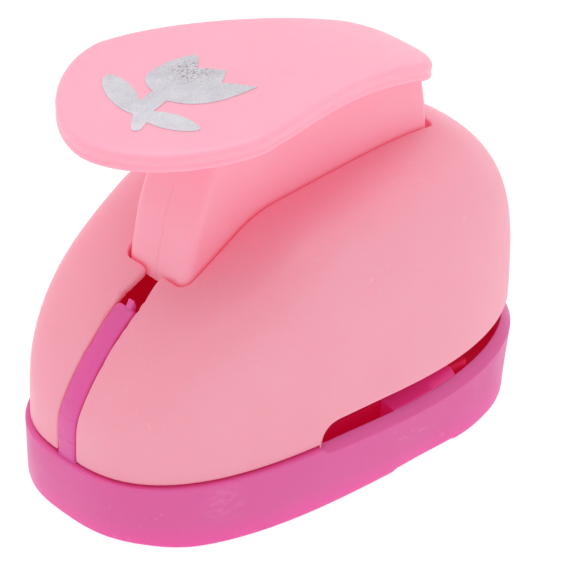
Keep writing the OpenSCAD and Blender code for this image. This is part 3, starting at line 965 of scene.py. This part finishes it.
def pad_side_section():
    """Side of the pad, as (inward offset, depth below its top): round above, faintly hollow, a lip below."""
    corners = [(PAD_EDGE, 0), (0, 0), (0.34, 0.62 * PAD_THICK), (0.08, PAD_THICK), (PAD_EDGE, PAD_THICK)]
    return round_corners(corners, [0, 0.8, 0.7, 0.45, 0], 6)


def build_pad():
    """Thumb pad, as rings that run from its spine over the top, round the side and back underneath."""
    loop = pad_outline() + (0, PAD_SHIFT)
    normals = inward_normals(loop)
    if np.dot(normals[0], (1, 0)) < 0:
        normals = -normals
    edge = loop + normals * PAD_EDGE
    spine = np.stack([np.clip(loop[:, 0] * 0.92 + 1, PAD_MIDDLE, 11), np.zeros(len(loop))], -1)
    shares = np.array([0.25, 0.5, 0.75, 1.0])
    plans = [(edge + (spine - edge) * share, 0.0) for share in shares[::-1]]
    plans += [(loop + normals * offset, depth) for offset, depth in pad_side_section()]
    plans += [(edge + (spine - edge) * share, PAD_THICK) for share in shares]
    rings = [np.column_stack([plan, arch_z(plan[:, 0], depth)]) for plan, depth in plans]
    obj = make_object("lever_body", np.concatenate(rings), grid_faces(len(rings), len(loop), wrap=True))
    close_spine(obj)
    return obj


def close_spine(obj):
    """Closes the pad along its middle line, above and below."""
    def change(bm):
        bmesh.ops.remove_doubles(bm, verts=bm.verts, dist=2e-6)
        bmesh.ops.holes_fill(bm, edges=[e for e in bm.edges if e.is_boundary], sides=0)
        bmesh.ops.recalc_face_normals(bm, faces=bm.faces)
    edit(obj, change)


def web_edge_x(table, z):
    """Place of the web's front or rear edge at a height, from its (z, x) points."""
    return np.interp(z, [p[0] for p in table], [p[1] for p in table])


def web_ring():
    """One level of the web, as (share along it, offset from the front edge, offset from the rear edge, y)."""
    r_front, r_rear, half = 1.4, 0.8, WEB_HALF
    ring = [(0, 0, 0, y) for y in (0.0, 0.1, 0.25, 1.5, 3.0)]
    ring += [(0, r_front * (1 - math.cos(a)), 0, half - r_front + r_front * math.sin(a))
             for a in np.linspace(0, math.pi / 2, 8)]
    ring += [(s, 0, 0, half) for s in np.linspace(0.05, 0.95, 24)]
    ring += [(1, 0, -r_rear * (1 - math.cos(a)), half - r_rear + r_rear * math.sin(a))
             for a in np.linspace(math.pi / 2, 0, 7)]
    ring += [(1, 0, 0, y) for y in (3.0, 1.5, 0.0)]
    return ring + [(s, f, b, -y) for s, f, b, y in ring[-2:0:-1]]


def build_web():
    """Upright web of the lever: rounded upright edges, with a fine parting line down its front face."""
    levels = []
    for level in np.linspace(0, 1, 26):
        points = []
        for s, front_offset, rear_offset, y in web_ring():
            top = float(arch_z(-18 + 36 * s, PAD_THICK)) + 0.7
            z = WEB_FOOT_Z + level * (top - WEB_FOOT_Z)
            x0 = web_edge_x(WEB_FRONT, z) + front_offset
            x1 = web_edge_x(WEB_REAR, z) + rear_offset
            parting = 0.12 if s == 0 and abs(y) < 0.05 else 0
            points.append((x0 + (x1 - x0) * s - parting, y, z))
        levels.append(points)
    return loft("web", levels)


def lever_parts():
    """Side profile, half width and boolean of each part that is put on or cut from the pad, in this order."""
    arm = [(12, 27.6), (12, 33.4), (19.5, 33.4), (24, 31.4), (23, 22.6), (17, 27.6)]
    hollow = [(-18.5, 26), (-17.7, 36.3), (-13.6, 49.3), (0, 48.4), (15, 43.2), (16.6, 37.5),
              (16.8, 33.2), (13.5, 29), (2, 26)]
    rib = [(3.4, 48.6), (15.2, 43.8), (18, 33.5), (18.8, 27), (NOSE[0] + 3, 27.0), (4.5, 27.0)]
    return [
        (arm, WEB_HALF - 0.02, "UNION"),
        (circle(*PIVOT, KNUCKLE_R), WEB_HALF - 0.01, "UNION"),
        (hollow, WEB_HALF - 1.5, "DIFFERENCE"),
        (rib, NOSE_HALF, "UNION"),
        (circle(*NOSE, NOSE_R), NOSE_HALF + 0.01, "UNION"),
        (circle(*PIVOT, PIN_BORE_LEVER), WEB_HALF + 1, "DIFFERENCE"),
    ]


def build_lever(materials):
    """Lever: pad and web, then the arm, knuckle, rib and nose, with the web hollowed and the hinge bored."""
    body = build_pad()
    combine(body, build_web(), "UNION")
    for profile, half, operation in lever_parts():
        combine(body, side_prism("lever_part", profile, -half, half), operation)
    shade(body, 32)
    place(body, "lever", "lever_plastic", materials, "lever")


# ---- foil motif ---------------------------------------------------------------------------

# Petals, stem and leaves: start, end, half width, fullness, where the widest place lies
TULIP = [
    ((-1.6, 1.6), (8.1, 5.1), 2.5, 1.25, 0.72),
    ((-1.4, 0.6), (8.1, -0.1), 3.0, 1.1, 1.0),
    ((-2, -0.6), (8.3, -5.6), 2.4, 1.0, 0.8),
    ((-1.2, 2.2), (3.6, 4.3), 2.0, 2.2, 1),
    ((-8.6, -3.3), (-4, 0.2), 0.95, 3, 1),
    ((-6.6, -1), (0.8, 1.1), 1.35, 3, 1),
    ((-6.2, -0.6), (-3.1, 8.3), 1.65, 2.2, 1.1),
    ((-5.8, -1.2), (-3.4, -8.6), 1.55, 1.8, 0.9),
]


def leaf_depth(x, y, leaf):
    """How far a point lies inside one leaf; negative outside."""
    (px, py), (qx, qy), width, fullness, skew = leaf
    length = math.hypot(qx - px, qy - py)
    ux, uy = (qx - px) / length, (qy - py) / length
    along = (x - px) * ux + (y - py) * uy
    across = np.abs((y - py) * ux - (x - px) * uy)
    share = np.clip(along / length, 0, 1)
    edge = width * np.abs(np.sin(math.pi * share ** skew)) ** (1 / fullness)
    beyond = np.maximum(0, np.maximum(-along, along - length))
    return edge - across - beyond * 2


def tulip_depth(x, y):
    """Depth inside the tulip, with slightly rounded joins between its leaves."""
    sharp = 9.0
    depths = np.stack([leaf_depth(x, y, leaf) for leaf in TULIP])
    return np.log(np.exp(np.clip(depths, -3, 3) * sharp).sum(0)) / sharp


def contour_mesh(depth, xs, ys):
    """Flat mesh of the area where depth is above 0: whole cells inside, clipped cells on the outline."""
    verts, index, faces = [], {}, []

    def corner(i, j):
        return vertex(("c", i, j), xs[i], ys[j])

    def vertex(key, x, y):
        if key not in index:
            index[key] = len(verts)
            verts.append((x, y))
        return index[key]

    def crossing(i0, j0, i1, j1):
        key = ("e",) + min((i0, j0, i1, j1), (i1, j1, i0, j0))
        a, b = depth[i0, j0], depth[i1, j1]
        f = min(max(a / (a - b), 0.02), 0.98)
        return vertex(key, xs[i0] + (xs[i1] - xs[i0]) * f, ys[j0] + (ys[j1] - ys[j0]) * f)

    for i in range(len(xs) - 1):
        for j in range(len(ys) - 1):
            cell = [(i, j), (i + 1, j), (i + 1, j + 1), (i, j + 1)]
            face = []
            for k in range(4):
                here, after = cell[k], cell[(k + 1) % 4]
                if depth[here] > 0:
                    face.append(corner(*here))
                if (depth[here] > 0) != (depth[after] > 0):
                    face.append(crossing(*here, *after))
            if len(face) >= 3:
                faces.append(tuple(face))
    return verts, faces


def build_foil(materials):
    """Thin tulip foil that follows the pad's arch."""
    xs = np.arange(-MOTIF_HALF[0], MOTIF_HALF[0], MOTIF_STEP)
    ys = np.arange(-MOTIF_HALF[1], MOTIF_HALF[1], MOTIF_STEP)
    grid_x, grid_y = np.meshgrid(xs, ys, indexing="ij")
    flat, faces = contour_mesh(tulip_depth(grid_x, grid_y), xs, ys)
    flat = np.array(flat) + (MOTIF_X, MOTIF_Y)
    top = np.column_stack([flat, arch_z(flat[:, 0]) + FOIL_T])
    bottom = np.column_stack([flat, arch_z(flat[:, 0]) - FOIL_SUNK])
    n = len(flat)
    edges = [pair for f in faces for pair in zip(f, f[1:] + f[:1])]
    inner = {(b, a) for a, b in edges}
    solid = faces + [tuple(v + n for v in f[::-1]) for f in faces]
    solid += [(a, a + n, b + n, b) for a, b in edges if (a, b) not in inner]
    obj = make_object("tulip_foil", np.concatenate([top, bottom]), solid)
    shade(obj, 40)
    place(obj, "lever", "foil", materials, "foil_motif")


# ---- springs ------------------------------------------------------------------------------

def build_spring(name, side, node, materials):
    """Return spring with closed and ground end turns."""
    steps = 28
    low = SPRING_LOW + SPRING_WIRE + 0.01
    high = SPRING_HIGH - SPRING_WIRE - 0.02
    wire = circle(SPRING_R, 0, SPRING_WIRE, 12)
    rings = []
    for i in range(SPRING_TURNS * steps + 1):
        turn = i / steps
        angle = 2 * math.pi * turn
        climb = min(1, max(0, (turn - SPRING_CLOSED) / (SPRING_TURNS - 2 * SPRING_CLOSED)))
        z = low + (high - low) * climb
        rings.append([(SPRING_X + r * math.cos(angle), side * SPRING_Y + r * math.sin(angle), z + dz)
                      for r, dz in wire])
    obj = loft(name, rings)
    shade(obj, 50)
    place(obj, "housing", "spring_steel", materials, node)
    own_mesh(obj)


# ---- scene --------------------------------------------------------------------------------

def paint_nodes(nodes, names, material):
    """Gives CAD nodes that stay visible a procedural material of their own."""
    for name in names:
        obj = nodes[name]
        obj.data.materials.clear()
        obj.data.materials.append(material)


def add_floor():
    """Plain white sweep, lit a little from within as an acrylic table is."""
    m = Nodes("floor_white")
    tone = m.mix(m.noise(60, 2), (0.16, 0.16, 0.16, 1), (0.18, 0.18, 0.18, 1))
    m.shade(Base_Color=tone, Roughness=0.9, Specular_IOR_Level=0.1,
            Emission_Color=(1, 1, 1, 1), Emission_Strength=0.93)
    half = 4.0
    corners = [(-half, -half, 0), (half, -half, 0), (half, half, 0), (-half, half, 0)]
    mesh = bpy.data.meshes.new("floor")
    mesh.from_pydata(corners, [], [(0, 1, 2, 3)])
    floor = bpy.data.objects.new("floor", mesh)
    bpy.context.scene.collection.objects.link(floor)
    mesh.materials.append(m.material)


def add_area_light(name, place_at, size, power):
    """Round soft light, in metres and watts, that points at the object."""
    light = bpy.data.lights.new(name, "AREA")
    light.shape = "DISK"
    light.size = size
    light.energy = power
    obj = bpy.data.objects.new(name, light)
    obj.location = place_at
    obj.rotation_euler = (Vector((0, 0, 0.02)) - Vector(place_at)).to_track_quat("-Z", "Y").to_euler()
    bpy.context.scene.collection.objects.link(obj)


def add_lights():
    world = bpy.data.worlds.new("studio")
    world.use_nodes = True
    background = world.node_tree.nodes["Background"]
    background.inputs["Color"].default_value = (1, 1, 1, 1)
    background.inputs["Strength"].default_value = 0.66
    bpy.context.scene.world = world
    add_area_light("overhead", (-0.05, 0.1, 0.75), 0.7, 2.5)
    add_area_light("side_fill", (0.45, -0.7, 0.12), 0.5, 0.4)


def add_camera():
    """Camera at the photograph's angle: azimuth, elevation and a slight roll about the view line."""
    azimuth, elevation, roll = (math.radians(a) for a in (-43.28, 31.625, 1.646))
    place_mm = Vector((-255.88, -272.37, 248.99))
    back = Vector((math.sin(azimuth) * math.cos(elevation), -math.cos(azimuth) * math.cos(elevation),
                   math.sin(elevation)))
    level_right = (-back).cross(Vector((0, 0, 1))).normalized()
    level_up = level_right.cross(-back)
    right = math.cos(roll) * level_right + math.sin(roll) * level_up
    up = math.cos(roll) * level_up - math.sin(roll) * level_right
    turn = Matrix((right, up, back)).transposed()
    data = bpy.data.cameras.new("camera")
    data.sensor_width = 36
    data.lens = 219.1
    data.clip_start = 0.01
    camera = bpy.data.objects.new("camera", data)
    camera.matrix_world = Matrix.Translation(place_mm * MM) @ turn.to_4x4()
    bpy.context.scene.collection.objects.link(camera)
    bpy.context.scene.camera = camera


def paint_inner_works(nodes):
    """Metal materials for the CAD nodes that stay visible: ground steel for most, cast zinc for four."""
    steel = ground_metal("ground_steel", (0.60, 0.61, 0.63, 1), 0.26, (0, 0, 0.4))
    zinc = ground_metal("cast_zinc", (0.52, 0.53, 0.55, 1), 0.42)
    kinds = ("guide_bolt", "frame_screw", "die_screw", "punch_screw", "cover_screw")
    pairs = [f"{kind}_{side}" for kind in kinds for side in ("left", "right")]
    paint_nodes(nodes, pairs + ["hinge_pin", "punch"], steel)
    paint_nodes(nodes, ["die_plate", "throat_spacer", "guide_plate", "punch_carrier"], zinc)


def main():
    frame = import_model()

    plastic = {name: moulded_plastic(name, **look) for name, look in PLASTICS.items()}
    build_cover([plastic["cover_plastic"], plastic["cover_inside_painted_shade"]])
    build_base([plastic["base_plastic"], plastic["base_inside_painted_shade"], plastic["ramp_painted_shade"]])
    build_tongue([plastic["tongue_plastic"]])
    build_lever([plastic["lever_plastic"]])
    build_foil([foil_material()])
    wire = ground_metal("spring_wire", (0.55, 0.55, 0.57, 1), 0.22)
    build_spring("spring_left", -1, "return_spring_left", [wire])
    build_spring("spring_right", 1, "return_spring_right", [wire])
    paint_inner_works(frame["nodes"])

    add_floor()
    add_lights()
    add_camera()
    bpy.context.scene.view_settings.view_transform = "Standard"


main()
